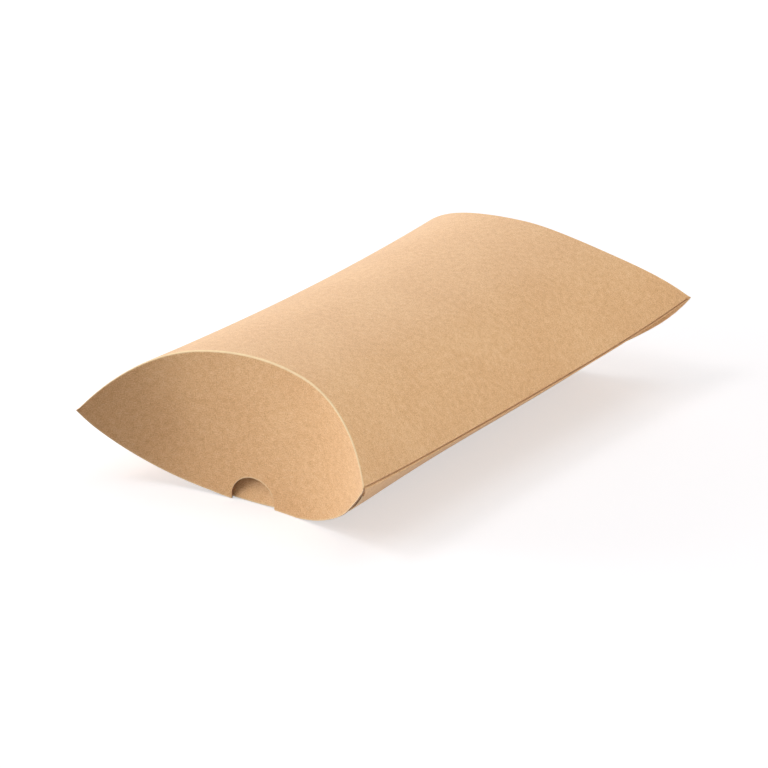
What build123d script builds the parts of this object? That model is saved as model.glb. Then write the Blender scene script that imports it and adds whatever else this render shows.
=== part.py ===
from build123d import *
import math
import os

# Kraft pillow box, closed, lying on its lower panel. Millimetres, +Z up.
# X runs across the width, Y along the length, and Z is 0 at the crown of the lower panel.
# It is one creased blank: two bowed panels joined at the long folds, a glued seam inside
# the +X fold, and a curved flap on each end of both panels. Board bends one way only, so
# every wall is drawn as arcs and run straight, and the creases are where two walls meet.

# Driving dimensions of the closed box
box_length = 170
box_width = 95
panel_rise = 21.5
crease_depth = 16.5

# Bow of a panel: a shallow crown, turning crown_turn degrees each way, and tighter sides
crown_radius = 88
crown_turn = 12

# Board and glue
board = 0.5
glue_space = 0.16
glue_clearance = 0.02

# Gaps at the creases, between the flaps, and under the outer flaps' free edges
crease_gap = 0.1
flap_gap = 0.35
free_edge_lift = 0.3

# Long folds
fold_band = 1.5
fold_radius = 0.45
fold_end_gap = 0.35
raw_edge_height = 0.1

# Glue flap inside the seam
glue_flap_height = 10.5
glue_flap_end_gap = 3.4
glue_line_margin = 1

# End flaps
notch_radius = 7
notch_straight = 1
inner_flap_rise = 4.3
outer_flap_tip_trim = 0.5
inner_flap_tip_trim = 2.5

overrun = 5

# Places that follow from the sizes above
half_length = box_length / 2
half_width = box_width / 2
fold_height = panel_rise
lower_tip = half_length - board - flap_gap


class Bow:
    """Even bow over the box's width: a shallow crown arc between two tighter side arcs.

    Its ends lie at height 0, half_width from the middle. Inset moves the whole line inwards.
    """

    def __init__(self, height):
        share = height / panel_rise
        self.height = height
        self.crown = crown_radius / share
        turn = math.atan(share * math.tan(math.radians(crown_turn)))
        run = half_width - self.crown * math.sin(turn)
        drop = height - self.crown * (1 - math.cos(turn))
        end_turn = 2 * math.atan2(drop, run) - turn
        self.side = run / (math.sin(end_turn) - math.sin(turn))
        self.side_x = (self.crown - self.side) * math.sin(turn)
        self.side_y = height - self.crown + (self.crown - self.side) * math.cos(turn)
        self.join = 90 - math.degrees(turn)

    def width_at(self, height, inset=0):
        """Distance from the middle to the side arc."""
        radius = self.side - inset
        return self.side_x + math.sqrt(radius**2 - (height - self.side_y) ** 2)

    def angle_at(self, height, inset):
        return math.degrees(math.asin((height - self.side_y) / (self.side - inset)))

    def side_arc(self, inset, low, high):
        """The right side arc between two heights."""
        start = self.angle_at(low, inset)
        turn = self.angle_at(high, inset) - start
        return CenterArc((self.side_x, self.side_y), self.side - inset, start, turn)

    def line(self, inset, right=0, left=0):
        """All three arcs, from a height on the right over the crown to one on the left."""
        start = self.angle_at(right, inset)
        end = self.angle_at(left, inset)
        radius = self.side - inset
        crown_centre = (0, self.height - self.crown)
        crown_size = 180 - 2 * self.join
        return [
            CenterArc((self.side_x, self.side_y), radius, start, self.join - start),
            CenterArc(crown_centre, self.crown - inset, self.join, crown_size),
            CenterArc((-self.side_x, self.side_y), radius, 180 - self.join, self.join - end),
        ]


panel_bow = Bow(panel_rise)
crease_bow = Bow(crease_depth)


def band(outer, inner):
    """Closed face between two lists of arcs that run the same way."""
    ends = [Line(outer[-1] @ 1, inner[-1] @ 1), Line(outer[0] @ 0, inner[0] @ 0)]
    return make_face(outer + inner + ends)


def along_box(section):
    """Run a section the whole length of the box and a little past both ends."""
    reach = half_length + overrun
    place = Plane(origin=(0, reach, fold_height), x_dir=(1, 0, 0), z_dir=(0, -1, 0))
    return extrude(place * section, 2 * reach)


def flip(shape):
    """The same shape on the lower panel."""
    return mirror(shape, about=Plane.XY.offset(fold_height))


# Panels, long folds and glue flap, before their ends are cut


def panel_board(right, left):
    """Upper panel between two heights above the fold plane."""
    return along_box(band(panel_bow.line(0, right, left), panel_bow.line(board, right, left)))


def side_fold_board():
    """Strip bent round the plain long fold, on -X."""
    outer = panel_bow.width_at(fold_band)
    inner = panel_bow.width_at(fold_band, board)
    face = make_face(
        Polyline(
            (-outer, -fold_band),
            (-half_width, 0),
            (-outer, fold_band),
            (-inner, fold_band),
            (-panel_bow.width_at(0, board), 0),
            (-inner, -fold_band),
            close=True,
        )
    )
    return along_box(fillet(face.vertices().sort_by(Axis.X)[0], fold_radius))


def seam_fold_board():
    """Strip that turns from the lower panel up under the raw edge of the upper one, on +X."""
    tuck = board + glue_space
    face = make_face(
        Polyline(
            (panel_bow.width_at(fold_band), -fold_band),
            (panel_bow.width_at(0, tuck), 0),
            (panel_bow.width_at(fold_band, tuck), fold_band),
            (panel_bow.width_at(fold_band, tuck + board), fold_band),
            (panel_bow.width_at(0, tuck + board), 0),
            (panel_bow.width_at(fold_band, board), -fold_band),
            close=True,
        )
    )
    return along_box(fillet(face.vertices().sort_by(Axis.X)[-1], fold_radius))


def seam_layer(near, far, low, high):
    """Layer inside the seam, between two depths under the panel and two heights."""
    outer = panel_bow.side_arc(near, low, high)
    inner = panel_bow.side_arc(far, low, high)
    return along_box(band([outer], [inner]))


# Curved creases at the front end, each on a place between its tips. The rear end mirrors them.
# A curved crease turns board to its mirror image in the crease's own plane. The inner flap
# is the lower panel turned over this way, so it has the panel's bow and leans into the box.

upright = Plane(origin=(0, -half_length, fold_height))
lean = 2 * math.atan2(panel_rise, crease_depth) - math.pi / 2
leaning = Plane(
    origin=(0, -lower_tip, fold_height), x_dir=(1, 0, 0), z_dir=(0, math.sin(lean), math.cos(lean))
)


def crease_wall(place, bow):
    """Wall of board that stands on a crease and runs up and down its place's axis."""
    face = bow.line(0, -overrun, -overrun)
    back = bow.line(-board, -overrun, -overrun)
    return extrude(place * band(face, back), 2 * panel_rise, both=True)


def end_void(place, bow, growth):
    """Everything in front of such a wall, or of a line behind its face, to cut ends with."""
    arcs = bow.line(-growth, -overrun, -overrun)
    right = arcs[0] @ 0
    left = arcs[-1] @ 1
    front = -panel_rise - overrun
    near_left = (left.X, front)
    near_right = (right.X, front)
    face = make_face(
        arcs + [Line(left, near_left), Line(near_left, near_right), Line(near_right, right)]
    )
    return extrude(place * face, 2 * panel_rise, both=True)


def both_ends(front):
    return front + mirror(front, about=Plane.XZ)


# End flaps


def block_under(bow, inset=0):
    """Block along the box between the fold plane and a bow."""
    arcs = bow.line(inset)
    return along_box(make_face(arcs + [Line(arcs[-1] @ 1, arcs[0] @ 0)]))


def trim_width(trim):
    """Block as wide as a flap between its trimmed tips."""
    wide = box_width - 2 * trim
    return Pos(0, 0, fold_height) * Box(wide, 2 * box_length, 2 * box_width)


def thumb_notch():
    """Half-round finger notch in the middle of the free edge, through the flap."""
    centre = free_edge_lift + notch_straight
    round_part = Pos(0, centre) * Circle(notch_radius)
    straight = Pos(0, centre - overrun / 2) * Rectangle(2 * notch_radius, overrun)
    place = Plane(origin=(0, 0, 0), x_dir=(1, 0, 0), z_dir=(0, -1, 0))
    return extrude(place * (round_part + straight), half_length + overrun)


def outer_flap():
    """Front flap of the upper panel, hanging over the inner one to the lower crease."""
    root = block_under(panel_bow, crease_gap)
    outline = root + flip(block_under(Bow(panel_rise - free_edge_lift)))
    flap = crease_wall(upright, crease_bow) & outline & trim_width(outer_flap_tip_trim)
    return flap - thumb_notch()


def inner_flap():
    """Front flap of the lower panel, standing up behind the outer one."""
    root = flip(block_under(panel_bow, crease_gap))
    outline = root + block_under(Bow(inner_flap_rise))
    return crease_wall(leaning, panel_bow) & outline & trim_width(inner_flap_tip_trim)


# The named pieces


def build():
    upper_end = both_ends(end_void(upright, crease_bow, board + crease_gap))
    lower_end = both_ends(end_void(leaning, panel_bow, board + crease_gap))
    flap_depth = 2 * board + flap_gap
    fold_end = both_ends(end_void(upright, crease_bow, flap_depth + fold_end_gap))
    flap_end = both_ends(end_void(upright, crease_bow, flap_depth + glue_flap_end_gap))
    glue_end = both_ends(
        end_void(upright, crease_bow, flap_depth + glue_flap_end_gap + glue_line_margin)
    )
    tuck = board + glue_space
    glue_flap = seam_layer(tuck, tuck + board, fold_band, glue_flap_height)
    glue_line = seam_layer(
        board + glue_clearance,
        tuck - glue_clearance,
        fold_band + glue_line_margin,
        glue_flap_height - glue_line_margin,
    )
    front_outer = outer_flap()
    front_inner = inner_flap()
    return {
        "top_panel": panel_board(raw_edge_height, fold_band) - upper_end,
        "bottom_panel": flip(panel_board(fold_band, fold_band)) - lower_end,
        "side_fold": side_fold_board() - fold_end,
        "seam_fold": seam_fold_board() - fold_end,
        "glue_flap": glue_flap - flap_end,
        "glue_line": glue_line - glue_end,
        "front_outer_flap": front_outer,
        "front_inner_flap": front_inner,
        "rear_outer_flap": mirror(front_outer, about=Plane.XZ),
        "rear_inner_flap": mirror(front_inner, about=Plane.XZ),
    }


os.makedirs("parts", exist_ok=True)
for name, piece in build().items():
    export_step(piece, f"parts/{name}.step")
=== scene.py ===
import math

import bpy
import numpy as np
from mathutils import Matrix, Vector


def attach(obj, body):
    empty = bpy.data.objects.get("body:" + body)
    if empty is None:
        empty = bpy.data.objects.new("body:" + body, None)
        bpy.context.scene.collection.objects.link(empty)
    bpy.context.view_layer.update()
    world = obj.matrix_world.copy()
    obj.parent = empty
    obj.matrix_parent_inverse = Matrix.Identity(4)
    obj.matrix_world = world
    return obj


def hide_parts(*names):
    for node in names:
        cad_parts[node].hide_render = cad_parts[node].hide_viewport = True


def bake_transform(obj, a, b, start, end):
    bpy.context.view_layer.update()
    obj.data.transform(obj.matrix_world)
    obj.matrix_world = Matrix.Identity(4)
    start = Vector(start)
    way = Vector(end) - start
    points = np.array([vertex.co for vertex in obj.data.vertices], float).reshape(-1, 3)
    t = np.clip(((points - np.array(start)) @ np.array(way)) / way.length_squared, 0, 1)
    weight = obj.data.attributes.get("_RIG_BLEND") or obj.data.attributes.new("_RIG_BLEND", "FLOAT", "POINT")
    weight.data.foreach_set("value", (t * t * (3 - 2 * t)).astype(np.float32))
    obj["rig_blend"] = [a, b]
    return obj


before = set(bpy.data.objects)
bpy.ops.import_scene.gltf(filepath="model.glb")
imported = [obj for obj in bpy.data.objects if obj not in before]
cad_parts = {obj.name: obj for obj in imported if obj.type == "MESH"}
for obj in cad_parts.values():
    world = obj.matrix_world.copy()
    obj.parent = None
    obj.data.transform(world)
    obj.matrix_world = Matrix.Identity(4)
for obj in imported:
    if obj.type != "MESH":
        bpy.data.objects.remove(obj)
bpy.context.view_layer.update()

# Kraft pillow box. Lengths are in millimetres here and go to metres when a mesh is made.
# Heights are measured from the plane of the long folds until then.

# Sizes shared with the solids
half_length = 85.0
half_width = 47.5
panel_rise = 21.5
crease_depth = 16.5
crown_radius = 88.0
crown_turn = math.radians(12)
board = 0.5
glue_space = 0.16
glue_clearance = 0.02
glue_flap_height = 10.5
glue_flap_end_gap = 3.4
glue_line_margin = 1.0
fold_band = 1.5
free_edge_lift = 0.3
notch_straight = 1.0
inner_flap_rise = 4.3
inner_flap_trim = 2.5

# Sizes that differ a little from the solids', to fit the photographed box
flap_lap = 0.7
raw_edge_height = 0.45
notch_radius = 7.2
notch_height = 6.3
notch_shift = 0.35
outer_flap_trim = 0.15

crease_apex = half_length - crease_depth
lower_tip = half_length - flap_lap
depth_share = crease_depth / panel_rise
crease_angle = math.atan2(crease_depth, panel_rise)
inner_lean = math.pi / 2 - 2 * crease_angle

# How the photographed box departs from the drawn one: it has a waist half-way, the rear tips
# lift, and on the +X side both panels are slack towards the rear and the lower one is full
# at the front. The +X fold hangs between its tips and stands out under the raw edge, and the
# rear flap's free edge is higher. A skew moves the fullest place towards the +X fold.
middle_sag = 1.65
waist = 1.1
tip_lift = 2.05
upper_slack = 1.1
lower_slack = 4.5
lower_skew = 2.5
slack_start = -20.0
lower_bulge = 0.8
bulge_start = -10.0
fold_droop = 1.4
upper_droop_start = 15.0
lower_droop_start = 40.0
fold_ledge_drop = 0.25
rear_edge_rise = 2.1
rear_edge_skew = 1.8

# The front flap's free edge: how far each move takes it up, between which two places across
# the box the move grows, and between which two it fades again. It dips beside the notch, and
# stays clear of the floor.
front_edge_moves = (
    (-0.3, (0, -12), (3 - half_width, -half_width)),
    (-1.5, (2, 13), (20, 42)),
    (0.8, (34, 41), (half_width - 3.5, half_width)),
)
notch_dip = 0.3
notch_dip_reach = 6.0
floor_gap = 0.08

# Rounding of creases and cut edges. Where a flap is low, its roll is a fifth of its height.
crease_round = 0.6
rolls_per_flap = 5
side_fold_round = 0.275
rim_bulge = 0.07

# Steps of the meshes. The even steps stay edge_clearance times the last of edge_steps away
# from a fine edge, and notch_side is half the step from the flap's edge into its notch.
roll_steps = 6
rim_steps = 4
flat_columns = 4
side_turn_steps = 8
seam_turn_steps = 5
seam_before_corner = (0.35, 0.7)
seam_after_corner = (0.4, 0.8)
edge_steps = (0.12, 0.3, 0.6, 1.1)
edge_clearance = 1.3
grid_step = 1.6
row_step = 2.2
seam_step = 1.2
notch_columns = 28
notch_side = 0.02
outer_wall_height = 40.0
inner_wall_height = 26.0

# What the meshes tell the material: how rubbed folds and cut edges are, which also sets a pale
# highlight painted along them, and how far apart face and back lie in the blank, so that their
# grain differs
fold_wear_and_highlight = 0.7
edge_highlight_and_wear_reach = 0.45
back_shift = 40.0

mm_per_metre = 1000


# Shape of the box


def ease(t):
    """Smooth step from 0 to 1."""
    t = np.clip(t, 0, 1)
    return t * t * (3 - 2 * t)


def ramp(x, start, full):
    """0 at start, smoothly up to 1 at full."""
    return ease((x - start) / (full - start))


def bend(first, corner, last, t):
    """Place at t, from 0 to 1, on the way from first to last round the inside of a corner."""
    return (1 - t) ** 2 * first + 2 * t * (1 - t) * corner + t**2 * last


def bow(x, height):
    """Height of the three-arc bow over the box's width, for a bow of the given height."""
    least = 0.01
    height = np.maximum(np.asarray(height, float), least)
    share = height / panel_rise
    crown = crown_radius / share
    turn = np.arctan(share * math.tan(crown_turn))
    run = half_width - crown * np.sin(turn)
    drop = height - crown * (1 - np.cos(turn))
    end_turn = 2 * np.arctan2(drop, run) - turn
    side = run / (np.sin(end_turn) - np.sin(turn))
    side_x = (crown - side) * np.sin(turn)
    side_y = height - crown + (crown - side) * np.cos(turn)
    far = np.abs(x)
    over = height - crown + np.sqrt(np.maximum(crown**2 - far**2, 0))
    down = side_y + np.sqrt(np.maximum(side**2 - (far - side_x) ** 2, 0))
    return np.where(far < crown * np.sin(turn), over, down)


def width_at(height):
    """Distance from the middle at which the drawn panel has this height."""
    xs = np.linspace(half_width, half_width / 2, 2001)
    return float(np.interp(height, bow(xs, panel_rise), xs))


def rear_share(y):
    """0 in front of slack_start, 1 at the rear crease's apex, more at the rear tips."""
    return np.clip((y - slack_start) / (crease_apex - slack_start), 0, None) ** 2


def front_share(y):
    """0 behind bulge_start, 1 at the front crease's apex."""
    return np.clip((bulge_start - y) / (crease_apex + bulge_start), 0, 1) ** 2


def rise_at(y):
    """Rise of each panel's bow, which is least half-way along the box."""
    return panel_rise - middle_sag * (1 - (y / crease_apex) ** 2)


def right_hump(x, skew, power=1):
    """0 left of the middle and at the +X fold, 1 between; skew moves the top to the fold."""
    return np.sin(math.pi * np.clip(x / half_width, 0, 1) ** skew) ** power


def lift(x, y):
    """How far the rear tips' rise takes this place up."""
    return tip_lift * rear_share(y) * (1 - bow(x, panel_rise) / panel_rise)


def droop(x, y, start):
    """How far the +X fold hangs below a straight line between its tips; 0 left of start."""
    middle = 1 - np.clip(y / half_length, -1, 1) ** 4
    return fold_droop * middle * ramp(x, start, half_width)


def upper_z(x, y):
    """Height of the upper panel's face."""
    slack = upper_slack * rear_share(y) * right_hump(x, 1, 2)
    return bow(x, rise_at(y)) + lift(x, y) - slack - droop(x, y, upper_droop_start)


def lower_z(x, y):
    """Height of the lower panel's face."""
    change = lower_slack * np.minimum(rear_share(y), 1) - lower_bulge * front_share(y)
    height = -bow(x, rise_at(y)) + lift(x, y) + change * right_hump(x, lower_skew)
    return height - droop(x, y, lower_droop_start)


def upper_crease(x):
    """Distance of the upper crease from the box's middle, along the box."""
    return half_length - bow(x, crease_depth)


def lower_crease(x):
    """The same of the lower crease, which lies in a leaning plane."""
    return lower_tip - depth_share * bow(x, panel_rise)


def free_edge(xs, end):
    """Height of an outer flap's free edge, without its notch."""
    y = end * lower_crease(xs)
    if end > 0:
        hump = rear_edge_rise * right_hump(xs, rear_edge_skew, 2)
        return -bow(xs, panel_rise) + lift(xs, y) + hump + free_edge_lift
    low = lower_z(xs, y) + free_edge_lift
    for rise, (start, full), (last_full, stop) in front_edge_moves:
        low = low + rise * ramp(xs, start, full) * ramp(xs, stop, last_full)
    beside_notch = np.clip((np.abs(xs) - notch_radius) / notch_dip_reach, 0, 1)
    low = low - notch_dip * (1 - beside_notch)
    return np.maximum(low, floor_gap - panel_rise)


# Grids


def spaced(start, end, step=grid_step, fine_start=True, fine_end=True):
    """Positions from start to end, with extra ones close to the ends that want a fine edge."""
    length = abs(end - start)
    near = [place for place in edge_steps if place < length / 4]
    clear = near[-1] * edge_clearance
    count = max(2, int(round(length / step)))
    even = np.linspace(0, length, count + 1)[1:-1]
    marks = {0.0, length, *even[(even > clear) & (even < length - clear)]}
    marks.update(near if fine_start else even[even <= clear])
    marks.update([length - place for place in near] if fine_end else even[even >= length - clear])
    direction = 1 if end > start else -1
    return start + direction * np.array(sorted(marks))


row_marks = spaced(0, 2 * crease_apex, row_step) / (2 * crease_apex)
roll_marks = np.linspace(0, 1, roll_steps + 1)
outer_wall_marks = (spaced(0, outer_wall_height) / outer_wall_height)[1:]
inner_wall_marks = (spaced(0, inner_wall_height) / inner_wall_height)[1:]


def grid(x, y, z):
    """Points of a grid. A coordinate may be given once for each column or row, or just once."""
    return np.stack(np.broadcast_arrays(x, y, z), axis=-1)


def rows_between(start, stop, marks):
    """One row for each mark, from start at 0 to stop at 1."""
    return start + (stop - start) * marks[:, None]


def along_box(end):
    """Rows from -end to end."""
    return rows_between(-end, end, row_marks)


def unit(v):
    """Vectors of length 1. One of no length stays so."""
    return v / np.maximum(np.linalg.norm(v, axis=-1, keepdims=True), 1e-9)


def grid_normals(face, out):
    """Unit normals of a grid, on the side that out names, and its two unit tangents."""
    down = unit(np.gradient(face, axis=0))
    along = unit(np.gradient(face, axis=1))
    return unit(np.cross(down, along)) * out, down, along


def arc_places(xs):
    """Arc length over the crown to each x, for the places in the flat blank."""
    fine = np.linspace(-half_width, half_width, 4001)
    z = bow(fine, panel_rise)
    length = np.concatenate([[0], np.cumsum(np.hypot(np.diff(fine), np.diff(z)))])
    return np.interp(xs, fine, length - length[len(length) // 2])


# Sheets of board


def add_object(name, data):
    thing = bpy.data.objects.new(name, data)
    bpy.context.scene.collection.objects.link(thing)
    return thing


def drawn_in(points):
    """The box is a little narrower half-way than at its tips."""
    middle = 1 - np.clip(points[:, 1] / half_length, -1, 1) ** 2
    narrower = np.ones_like(points)
    narrower[:, 0] -= waist / half_width * middle
    return points * narrower


def make_mesh(name, points, quads, attributes):
    """Object in metres, drawn in at its waist, with named values or vectors at its points."""
    mesh = bpy.data.meshes.new(name)
    points = (drawn_in(points) + np.array([0, 0, panel_rise])) / mm_per_metre
    mesh.from_pydata(points.tolist(), [], quads)
    mesh.shade_smooth()
    for key, values in attributes.items():
        kind = "FLOAT_VECTOR" if values.ndim == 2 else "FLOAT"
        field = "vector" if values.ndim == 2 else "value"
        layer = mesh.attributes.new(key, kind, "POINT")
        layer.data.foreach_set(field, values.astype(np.float32).ravel())
    mesh.validate()
    return add_object(name, mesh)


def border(rows, columns):
    """Row and column of each point on a grid's border, once round."""
    loop = [(0, c) for c in range(columns)]
    loop += [(r, columns - 1) for r in range(1, rows)]
    loop += [(rows - 1, c) for c in range(columns - 2, -1, -1)]
    loop += [(r, 0) for r in range(rows - 2, 0, -1)]
    return np.array(loop).T


def around(ring):
    """Each item of a closed ring with the next one."""
    return zip(ring, ring[1:] + ring[:1])


def edge_rings(rows, columns, loop_r, loop_c):
    """Indices of the points round a sheet's edge: on the face, each rim step and the back."""
    on_face = (loop_r * columns + loop_c).tolist()
    count = len(on_face)
    first = rows * columns
    rings = [on_face]
    for _ in range(1, rim_steps):
        rings.append(list(range(first, first + count)))
        first += count
    rings.append([first + i for i in on_face])
    return rings


def joint_edges(ring, on_side):
    """Edges of a ring that lie along a side."""
    ends = zip(around(ring), around(on_side.tolist()))
    return {frozenset(pair) for pair, both in ends if all(both)}


def sheet_quads(rows, columns, rings, out):
    """Faces of a closed sheet: its two grids, and the strips between the rings at its edge."""
    back = rings[-1][0]
    quads = []

    def add(quad, way):
        quads.append(quad if way > 0 else quad[::-1])

    for r in range(rows - 1):
        for c in range(columns - 1):
            here = r * columns + c
            quad = (here, here + columns, here + columns + 1, here + 1)
            add(quad, out)
            add(tuple(back + i for i in quad), -out)
    for outer, inner in zip(rings, rings[1:]):
        for (a, b), (c, d) in zip(around(outer), around(inner)):
            add((a, b, d, c), out)
    return quads


def board_piece(name, face, out, blank, wear_and_highlight, cut, weight=None, thick=board):
    """Sheet of board behind a grid of face points, closed at its edges.

    blank holds the place of each point in the flat blank, wear_and_highlight how rubbed it is
    and how strongly a pale highlight is painted on it, and weight how far it follows its flap.
    cut tells which sides are die-cut: first and last row, first and last column. A cut side
    bulges a little, and the others are flat joints.
    """
    rows, columns = face.shape[:2]
    normals, down, along = grid_normals(face, out)
    weight = np.zeros((rows, columns)) if weight is None else weight
    loop_r, loop_c = border(rows, columns)
    sides = (
        (loop_r == 0, -down, cut[0]),
        (loop_r == rows - 1, down, cut[1]),
        (loop_c == 0, -along, cut[2]),
        (loop_c == columns - 1, along, cut[3]),
    )
    push = np.zeros((len(loop_r), 3))
    is_cut = np.zeros(len(loop_r))
    for here, direction, is_cut_side in sides:
        if is_cut_side:
            push[here] += direction[loop_r[here], loop_c[here]]
            is_cut[here] = 1
    push = unit(push)

    points = [face.reshape(-1, 3)]
    places = [blank.reshape(-1, 3)]
    for step in range(1, rim_steps):
        turn = math.pi * step / rim_steps
        depth = thick * (1 - math.cos(turn)) / 2
        rim = face[loop_r, loop_c] - depth * normals[loop_r, loop_c]
        points.append(rim + rim_bulge * math.sin(turn) * push)
        places.append(blank[loop_r, loop_c] + (0, 0, thick * step / rim_steps))
    points.append((face - thick * normals).reshape(-1, 3))
    places.append(places[0] + (0, 0, back_shift))

    def spread(values, on_border):
        """Values of the face's points for the face, each row of the rim and the back."""
        return np.concatenate([values.ravel(), *[on_border] * (rim_steps - 1), values.ravel()])

    # The wear values pale the colour: rubbed fibres, and a painted highlight along folds and edges
    attributes = {
        "blank": np.concatenate(places),
        "wear_and_highlight": spread(wear_and_highlight, wear_and_highlight[loop_r, loop_c]),
        "rim": spread(np.zeros((rows, columns)), is_cut),
    }
    weights = spread(weight, weight[loop_r, loop_c])

    rings = edge_rings(rows, columns, loop_r, loop_c)
    quads = sheet_quads(rows, columns, rings, out)
    piece = make_mesh(name, np.concatenate(points), quads, attributes)

    joints = set()
    for here, _, is_cut_side in sides:
        if not is_cut_side:
            joints |= joint_edges(rings[0], here) | joint_edges(rings[-1], here)
    for edge in piece.data.edges:
        edge.use_edge_sharp = frozenset(edge.vertices) in joints
    return piece, weights


# Pieces of the shell

fold_x = width_at(fold_band)
raw_x = width_at(raw_edge_height)
half_arc = float(arc_places(fold_x))
lower_middle = -2 * half_arc - 2 * fold_band
seam_start = lower_middle - half_arc


def shell_piece(name, node, face, out, across, cut, wear_and_highlight=0, thick=board):
    """Piece that moves with the shell. across, wear and painted highlight are given by column."""
    blank = grid(across, face[..., 1], 0)
    wear_and_highlight = np.broadcast_to(np.asarray(wear_and_highlight, float), face.shape[:2])
    piece, _ = board_piece(name, face, out, blank, wear_and_highlight, cut, thick=thick)
    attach(piece, "shell")
    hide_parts(node)
    return piece


def panel_face(height_of, xs, crease_of):
    """Grid over a panel, from one end's crease to the other's."""
    y = along_box(crease_of(xs) - crease_round)
    return grid(xs, y, height_of(xs, y))


def make_top_panel():
    xs = spaced(-fold_x, raw_x, fine_start=False)
    face = panel_face(upper_z, xs, upper_crease)
    return shell_piece("top_panel_board", "top_panel", face, -1, arc_places(xs), (0, 0, 0, 1))


def make_bottom_panel():
    xs = spaced(-fold_x, fold_x, fine_start=False, fine_end=False)
    face = panel_face(lower_z, xs, lower_crease)
    across = lower_middle - arc_places(xs)
    return shell_piece("bottom_panel_board", "bottom_panel", face, 1, across, (0, 0, 0, 0))


def make_side_fold():
    """The plain long fold, on -X: from the upper panel round the corner to the lower one."""
    start = side_fold_round - half_width
    flat = np.linspace(-fold_x, start, flat_columns)
    turn = np.linspace(0, 1, side_turn_steps + 1)[1:-1]

    def rows(x, share):
        """Rows to the fold's end, which goes from the upper crease to the lower one."""
        upper_end = upper_crease(x) - crease_round / 2
        return along_box((1 - share) * upper_end + share * lower_crease(x))

    columns = [grid(x, rows(x, 0), upper_z(x, rows(x, 0))) for x in flat]
    for t in turn:
        y = rows(start, t)
        z = bend(upper_z(start, y), lift(-half_width, y), lower_z(start, y), t)
        columns.append(grid(bend(start, -half_width, start, t), y, z))
    columns += [grid(x, rows(x, 1), lower_z(x, rows(x, 1))) for x in flat[::-1]]
    face = np.concatenate(columns, axis=1)
    steps = np.linalg.norm(np.diff(face[0], axis=0), axis=-1)
    across = -half_arc - np.concatenate([[0], np.cumsum(steps)])
    unworn = np.zeros(flat_columns)
    # The turn of the long fold is paled most at its middle: wear, and a painted highlight along the fold
    wear_and_highlight = fold_wear_and_highlight * np.concatenate([unworn, 1 - np.abs(2 * turn - 1), unworn])
    return shell_piece("side_fold_board", "side_fold", face, 1, across, (1, 1, 0, 0), wear_and_highlight)


def tucked(x, y, depth):
    """Points at a depth under the upper panel."""
    small = 0.01
    slope_x = (upper_z(x + small, y) - upper_z(x - small, y)) / (2 * small)
    slope_y = (upper_z(x, y + small) - upper_z(x, y - small)) / (2 * small)
    return grid(x, y, upper_z(x, y)) - depth * unit(grid(-slope_x, -slope_y, 1))


def make_seam_fold():
    """Fold inside the raw edge, on +X: from the lower panel up under the upper one."""
    tuck = board + glue_space

    def rows(x):
        return along_box(lower_crease(x) - crease_round / 2)

    low = grid(fold_x, rows(fold_x), lower_z(fold_x, rows(fold_x)))
    high = tucked(fold_x, rows(fold_x), tuck)
    under = tucked(raw_x, rows(raw_x), tuck)
    y = rows(half_width)
    edge = lift(half_width, y) - droop(half_width, y, lower_droop_start) - fold_ledge_drop
    corner = grid(half_width, y, edge)
    before = low + (corner - low) * np.array(seam_before_corner)[:, None]
    after = corner + (under - corner) * np.array(seam_after_corner)[:, None]
    t = np.linspace(0, 1, seam_turn_steps + 1)[1:-1, None]
    turn = bend(before[:, -1:], corner, after[:, :1], t)
    face = np.concatenate([low, before, turn, after, under, high], axis=1)
    across = seam_start - np.linspace(0, 2 * fold_band, face.shape[1])
    return shell_piece("seam_fold_board", "seam_fold", face, 1, across, (1, 1, 0, 0))


def seam_layer(name, node, depth, thick, margin, cut):
    """Layer at a depth under the upper panel, its edges a margin inside the glue flap's."""
    xs = spaced(width_at(fold_band + margin), width_at(glue_flap_height - margin), seam_step)
    y = along_box(lower_crease(xs) - board - (glue_flap_end_gap + margin))
    across = seam_start - 2 * fold_band - half_arc + arc_places(xs)
    return shell_piece(name, node, tucked(xs, y, depth), 1, across, cut, thick=thick)


def make_glue_flap():
    depth = board + glue_space
    return seam_layer("glue_flap_board", "glue_flap", depth, board, 0, (1, 1, 0, 1))


def make_glue_line():
    depth = board + glue_clearance
    thick = glue_space - 2 * glue_clearance
    return seam_layer(
        "glue_line_bead", "glue_line", depth, thick, glue_line_margin, (1, 1, 1, 1)
    )


# End flaps, at the front (end -1) and the rear (end 1). A flap's points follow the shell at
# its crease and the flap's own body at its middle, and turn by their share of the angle
# between, so that the board bends instead of tearing.


def fan_weight(y, z, apex_y, apex_z, crease_way, full):
    """Share of the flap's turn: 0 on the crease, 1 straight across from its middle.

    crease_way points from the crease's apex along the crease, seen from the side, and full is
    the angle from there to the flap's middle.
    """
    way_y = y - apex_y
    way_z = z - apex_z
    length = np.maximum(np.hypot(way_y, way_z), 1e-6)
    cosine = (way_y * crease_way[0] + way_z * crease_way[1]) / length
    return np.clip(np.arccos(np.clip(cosine, -1, 1)) / full, 0, 1)


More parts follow.
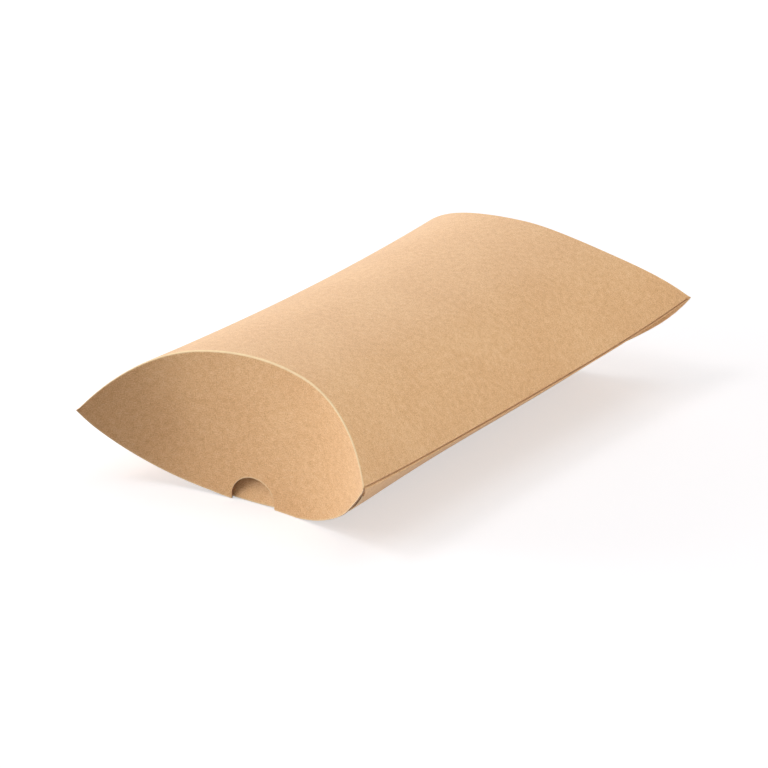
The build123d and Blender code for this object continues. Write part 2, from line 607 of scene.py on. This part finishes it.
def flap_piece(end, layer, face, out, blank, to_edge, wall_weight):
    """Flap whose first rows go round the crease and whose others are its wall.

    to_edge is how far each point of the wall is from the free edge, and wall_weight is its
    share of the flap's turn.
    """
    turned = roll_marks[:, None]
    # The crease roll is paled most at its middle, and the wall near its free edge: wear, and a painted
    # highlight
    ridge = np.broadcast_to((1 - np.abs(2 * turned - 1)) ** 0.5, face[: len(turned), :, 0].shape)
    edge_wear_and_highlight = np.clip(1 - to_edge / edge_highlight_and_wear_reach, 0, 1) ** 1.5
    wear_and_highlight = np.concatenate([ridge, edge_wear_and_highlight])
    weight = np.concatenate([ease(turned) * wall_weight[:1], wall_weight])
    body = f"{'front' if end < 0 else 'rear'}_{layer}"
    name = f"{body}_flap_board"
    piece, weights = board_piece(name, face, out, blank, wear_and_highlight, (0, 1, 1, 1), weight)
    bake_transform(piece, "shell", body, start=(0, 0, 0), end=(0, 0, 1))
    shares = piece.data.attributes["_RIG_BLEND"]
    shares.data.foreach_set("value", weights.astype(np.float32))
    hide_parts(f"{body}_flap")
    return piece


def notched_columns():
    """Columns over an outer flap's width, and which of them lie in the thumb notch."""
    reach = half_width - outer_flap_trim
    left = spaced(-reach, notch_shift - notch_radius - notch_side)
    right = spaced(notch_shift + notch_radius + notch_side, reach)
    turn = np.linspace(-math.pi / 2, math.pi / 2, notch_columns)
    arc = notch_shift + (notch_radius - notch_side) * np.sin(turn)
    xs = np.concatenate([left, arc, right])
    return xs, np.abs(xs - notch_shift) < notch_radius


def make_outer_flap(end):
    """Outer flap, hanging from the upper crease over the inner one."""
    xs, in_notch = notched_columns()
    crease_y = end * upper_crease(xs)
    shell_y = crease_y - end * crease_round
    top = upper_z(xs, crease_y)
    across = np.clip((xs - notch_shift) / notch_radius, -1, 1)
    notch_foot = -panel_rise + free_edge_lift + notch_straight
    notch = notch_foot + notch_height * np.sqrt(1 - across**2)
    free = np.where(in_notch, notch, free_edge(xs, end))
    root = top - np.minimum(crease_round, (top - free) / rolls_per_flap)
    roll = bend(
        grid(xs, shell_y, upper_z(xs, shell_y)),
        grid(xs, crease_y, top),
        grid(xs, crease_y, root),
        roll_marks[:, None, None],
    )
    wall = grid(xs, crease_y, rows_between(root, free, outer_wall_marks))
    face = np.concatenate([roll, wall])
    plain_top = bow(xs, panel_rise)
    plain_free = np.where(in_notch, notch, -plain_top + free_edge_lift)
    plain_z = rows_between(plain_top, plain_free, outer_wall_marks)
    crease_way = (end * math.sin(crease_angle), -math.cos(crease_angle))
    apex_y = end * crease_apex
    wall_weight = fan_weight(crease_y, plain_z, apex_y, panel_rise, crease_way, crease_angle)
    blank = grid(arc_places(xs), end * (np.abs(crease_y) + top - face[..., 2]), 0)
    to_edge = wall[..., 2] - free
    return flap_piece(end, "outer", face, -end, blank, to_edge, wall_weight)


def make_inner_flap(end):
    """Inner flap, standing up from the lower crease and leaning into the box."""
    reach = half_width - inner_flap_trim
    xs = spaced(-reach, reach)
    crease_y = end * lower_crease(xs)
    shell_y = crease_y - end * crease_round
    lean = end * math.tan(inner_lean)
    low = lower_z(xs, crease_y)
    root = low + crease_round
    free = bow(xs, inner_flap_rise) + lift(xs, crease_y)
    roll = bend(
        grid(xs, shell_y, lower_z(xs, shell_y)),
        grid(xs, crease_y, low),
        grid(xs, crease_y - lean * crease_round, root),
        roll_marks[:, None, None],
    )
    z = rows_between(root, free, inner_wall_marks)
    wall = grid(xs, crease_y - lean * (z - low), z)
    face = np.concatenate([roll, wall])
    plain_low = -bow(xs, panel_rise)
    plain_z = rows_between(plain_low, bow(xs, inner_flap_rise), inner_wall_marks)
    plain_y = crease_y - lean * (plain_z - plain_low)
    crease_way = (end * math.sin(crease_angle), math.cos(crease_angle))
    full = crease_angle + inner_lean
    apex_y = end * (crease_apex - flap_lap)
    wall_weight = fan_weight(plain_y, plain_z, apex_y, -panel_rise, crease_way, full)
    across = lower_middle - arc_places(xs)
    blank = grid(across, end * (np.abs(crease_y) + face[..., 2] - low), 0)
    to_edge = free - wall[..., 2]
    return flap_piece(end, "inner", face, end, blank, to_edge, wall_weight)


# Materials


class Nodes:
    """Shorthand for building the nodes of a material or the world."""

    def __init__(self, owner):
        owner.use_nodes = True
        self.tree = owner.node_tree
        self.nodes = self.tree.nodes

    def put(self, socket, value):
        """Join a socket to another node's output, or give it a constant."""
        if isinstance(value, bpy.types.NodeSocket):
            self.tree.links.new(value, socket)
        else:
            socket.default_value = value

    def fill(self, node, **inputs):
        """Set a node's inputs by their names, with _ for each space."""
        for key, value in inputs.items():
            self.put(node.inputs[key.replace("_", " ")], value)

    def shade(self, **inputs):
        self.fill(self.nodes["Principled BSDF"], **inputs)

    def add(self, kind, settings=None, **inputs):
        node = self.nodes.new(kind)
        for key, value in (settings or {}).items():
            setattr(node, key, value)
        self.fill(node, **inputs)
        return node

    def math(self, operation, *values, clamp=False):
        node = self.add("ShaderNodeMath", {"operation": operation, "use_clamp": clamp})
        for socket, value in zip(node.inputs, values):
            self.put(socket, value)
        return node.outputs[0]

    def total(self, base, *parts):
        """base plus each part's value times its share."""
        for value, share in parts:
            base = self.math("MULTIPLY_ADD", value, share, base)
        return base

    def attribute(self, name, output):
        return self.add("ShaderNodeAttribute", {"attribute_name": name}).outputs[output]

    def noise(self, place, scale, detail, roughness=0.5):
        """Noise from 0 to 1, with scale in lumps per millimetre."""
        node = self.add(
            "ShaderNodeTexNoise", Vector=place, Scale=scale, Detail=detail, Roughness=roughness
        )
        return node.outputs["Fac"]

    def streaks(self, place, stretch, turn=0.0, detail=2):
        """Noise with its lumps per millimetre given for each way, turned in the blank."""
        move = self.add("ShaderNodeMapping", Vector=place, Rotation=(0, 0, turn), Scale=stretch)
        return self.noise(move.outputs[0], 1.0, detail)

    def ramp(self, value, *stops):
        """Colour ramp through (position, colour) stops."""
        node = self.add("ShaderNodeValToRGB", Fac=value)
        elements = node.color_ramp.elements
        while len(elements) < len(stops):
            elements.new(0.5)
        for element, (position, colour) in zip(elements, stops):
            element.position = position
            element.color = (*colour, 1)
        return node.outputs["Color"]

    def mix(self, factor, a, b):
        node = self.add("ShaderNodeMix", {"data_type": "RGBA"})
        for index, value in ((0, factor), (6, a), (7, b)):
            self.put(node.inputs[index], (*value, 1) if isinstance(value, tuple) else value)
        return node.outputs[2]

    def seen(self):
        """1 on rays from the camera, also mirrored or through glass, and else 0."""
        rays = self.add("ShaderNodeLightPath").outputs
        seen = self.math("ADD", rays["Is Camera Ray"], rays["Is Glossy Ray"])
        return self.math("ADD", seen, rays["Is Transmission Ray"], clamp=True)


def linear(*srgb):
    """Linear colour of a display colour given from 0 to 255."""
    return tuple(
        c / 255 / 12.92 if c <= 10 else ((c / 255 + 0.055) / 1.055) ** 2.4 for c in srgb
    )


kraft_dark = linear(212, 159, 107)
kraft_tone = linear(234, 186, 132)
kraft_light = linear(249, 208, 158)
fibre_dark = linear(184, 130, 84)
fibre_light = linear(250, 220, 178)
# Pale colour at folds and cut edges: rubbed fibres, and partly a painted highlight standing in for light on
# the crease
crease_highlight_and_wear = linear(255, 229, 184)
cut_pale = linear(198, 150, 104)
cut_dark = linear(160, 112, 72)
glue_dark = linear(214, 196, 160)
glue_pale = linear(238, 230, 208)
black = (0, 0, 0)
white = (1, 1, 1)

# Three lots of fibres: how each is turned in the blank, and its lumps per millimetre
fibre_lots = ((0.35, (0.5, 5.0, 1)), (1.3, (0.6, 6.0, 1)), (2.2, (0.45, 4.6, 1)))

# Brings the sum of clouds, mottle and grain to 0.5 on average
tone_base = -0.675


def make_kraft():
    """Brown board: clouds, mottle, grain, dark and pale fibres; wear and a painted highlight at folds."""
    material = bpy.data.materials.new("kraft_board")
    n = Nodes(material)
    place = n.attribute("blank", "Vector")
    cloud = n.noise(place, scale=0.045, detail=2)
    mottle = n.noise(place, scale=0.55, detail=4, roughness=0.6)
    grain = n.noise(place, scale=2.6, detail=3, roughness=0.6)
    tone = n.total(tone_base, (cloud, 0.25), (mottle, 0.6), (grain, 1.5))
    colour = n.ramp(tone, (0.2, kraft_dark), (0.5, kraft_tone), (0.8, kraft_light))
    fibres = []
    for turn, stretch in fibre_lots:
        lumps = n.streaks(place, stretch, turn)
        fibres.append(n.ramp(lumps, (0.6, black), (0.72, white)))
    dark, darker, pale = fibres
    colour = n.mix(n.total(0.0, (dark, 0.4), (darker, 0.3)), colour, fibre_dark)
    colour = n.mix(n.math("MULTIPLY", pale, 0.4), colour, fibre_light)
    # At folds and cut edges the colour turns pale: rubbed fibres, and a painted highlight where light
    # catches the crease
    patchy = n.total(0.6, (mottle, 0.9))
    highlight_and_wear_share = n.math("MULTIPLY", n.attribute("wear_and_highlight", "Fac"), patchy, clamp=True)
    colour = n.mix(highlight_and_wear_share, colour, crease_highlight_and_wear)
    plies = n.streaks(place, (0.7, 0.7, 9.0))
    cut_colour = n.ramp(plies, (0.35, cut_dark), (0.65, cut_pale))
    colour = n.mix(n.attribute("rim", "Fac"), colour, cut_colour)
    height = n.total(0.0, (grain, 0.6), (mottle, 0.3), (pale, 0.35), (dark, -0.25))
    bump = n.add("ShaderNodeBump", Height=height, Strength=0.5, Distance=0.00006)
    n.shade(
        Base_Color=colour,
        Roughness=n.total(0.6, (grain, 0.2)),
        Normal=bump.outputs[0],
        Specular_IOR_Level=0.45,
        Sheen_Weight=0.3,
        Sheen_Roughness=0.4,
    )
    return material


def make_glue():
    """Dry glue, drawn out along the seam."""
    material = bpy.data.materials.new("dry_glue")
    n = Nodes(material)
    lumps = n.streaks(n.attribute("blank", "Vector"), (0.6, 0.08, 1), detail=3)
    bump = n.add("ShaderNodeBump", Height=lumps, Strength=0.4, Distance=0.00008)
    n.shade(
        Base_Color=n.ramp(lumps, (0.35, glue_dark), (0.65, glue_pale)),
        Roughness=0.35,
        Normal=bump.outputs[0],
    )
    return material


# The model


def dress(pieces, material):
    """Give pieces their material."""
    for piece in pieces:
        piece.data.materials.append(material)


kraft = make_kraft()
glue = make_glue()
board_pieces = [
    make_top_panel(),
    make_bottom_panel(),
    make_side_fold(),
    make_seam_fold(),
    make_glue_flap(),
]
for end in (-1, 1):
    board_pieces += [make_outer_flap(end), make_inner_flap(end)]
dress(board_pieces, kraft)
dress([make_glue_line()], glue)


# Floor, light and camera, in metres

# The floor glows weakly up to shaded_to from the middle, where it is also lit and takes the
# shadow, and at full white from white_from on
floor_reach = 6.0
floor_colour = (0.575, 0.556, 0.57, 1)
floor_glow = 0.56
shaded_to = 0.2
white_from = 0.8
sky_colour = (1, 0.94, 0.93, 1)
sky_strength = 0.1
light_target = (0, 0, 0.02)

# Name, place, size and watts of each lamp. All face light_target.
lamps = (
    ("key", (-0.44, -0.47, 0.92), 0.4, 3.2),
    ("side", (-0.92, -0.35, 0.22), 0.45, 1.9),
    ("front", (-0.8, -0.58, 0.2), 0.45, 5.3),
    ("overhead", (0.1, 0.3, 1.0), 0.6, 1.5),
    ("ceiling", (0.1, 0.1, 1.0), 1.6, 4.4),
    ("back", (-0.5, 0.85, 0.35), 0.6, 2.3),
    ("fill", (0.85, 0.1, 0.07), 0.13, 2.6),
)

# The photograph's camera: where it is, its axes, and its lens as a focal length in pixels
camera_place = (0.65099, -0.98306, 0.47445)
camera_right = (0.829690, 0.558074, 0.012934)
camera_down = (0.213303, -0.295536, -0.931214)
camera_ahead = (-0.515864, 0.775378, -0.364242)
lens_pixels = 4471.42
image_pixels = 768.0


def make_floor():
    """White floor: what the camera sees of it brightens to plain white away from the box."""
    mesh = bpy.data.meshes.new("floor")
    far = floor_reach
    corners = [(-far, -far, 0), (far, -far, 0), (far, far, 0), (-far, far, 0)]
    mesh.from_pydata(corners, [], [(0, 1, 2, 3)])
    material = bpy.data.materials.new("floor_white")
    n = Nodes(material)
    away = n.add("ShaderNodeVectorMath", {"operation": "LENGTH"})
    n.put(away.inputs[0], n.add("ShaderNodeTexCoord").outputs["Object"])
    level = n.add(
        "ShaderNodeMapRange",
        {"interpolation_type": "SMOOTHSTEP"},
        Value=away.outputs["Value"],
        From_Min=shaded_to,
        From_Max=white_from,
        To_Min=floor_glow,
        To_Max=1.0,
    )
    n.shade(
        Base_Color=floor_colour,
        Roughness=0.9,
        Specular_IOR_Level=0.0,
        Emission_Color=(*white, 1),
        Emission_Strength=n.math("MULTIPLY", n.seen(), level.outputs["Result"]),
    )
    mesh.materials.append(material)
    add_object("floor", mesh)


def make_world():
    """White where it is seen, and a weak warm light all round the box."""
    world = bpy.data.worlds.new("studio")
    bpy.context.scene.world = world
    n = Nodes(world)
    sky = n.nodes["Background"]
    n.fill(sky, Color=sky_colour, Strength=sky_strength)
    backdrop = n.add("ShaderNodeBackground", Color=(*white, 1))
    pick = n.add("ShaderNodeMixShader")
    for socket, value in zip(pick.inputs, (n.seen(), sky.outputs[0], backdrop.outputs[0])):
        n.put(socket, value)
    n.fill(n.nodes["World Output"], Surface=pick.outputs[0])


def make_light(name, place, size, watts):
    lamp = bpy.data.lights.new(name, "AREA")
    lamp.size = size
    lamp.energy = watts
    light = add_object(name, lamp)
    light.location = place
    away = unit(np.subtract(place, light_target))
    across = unit(np.cross((0, 0, 1), away))
    light.rotation_euler = Matrix((across, np.cross(away, across), away)).transposed().to_euler()


def make_camera():
    data = bpy.data.cameras.new("camera")
    data.sensor_width = 36.0
    data.lens = lens_pixels / image_pixels * data.sensor_width
    data.clip_end = 30.0
    camera = add_object("camera", data)
    up = [-v for v in camera_down]
    back = [-v for v in camera_ahead]
    turn = Matrix((camera_right, up, back)).transposed().to_4x4()
    camera.matrix_world = Matrix.Translation(camera_place) @ turn
    bpy.context.scene.camera = camera


make_floor()
make_world()
for lamp in lamps:
    make_light(*lamp)
make_camera()
bpy.context.scene.view_settings.view_transform = "Standard"
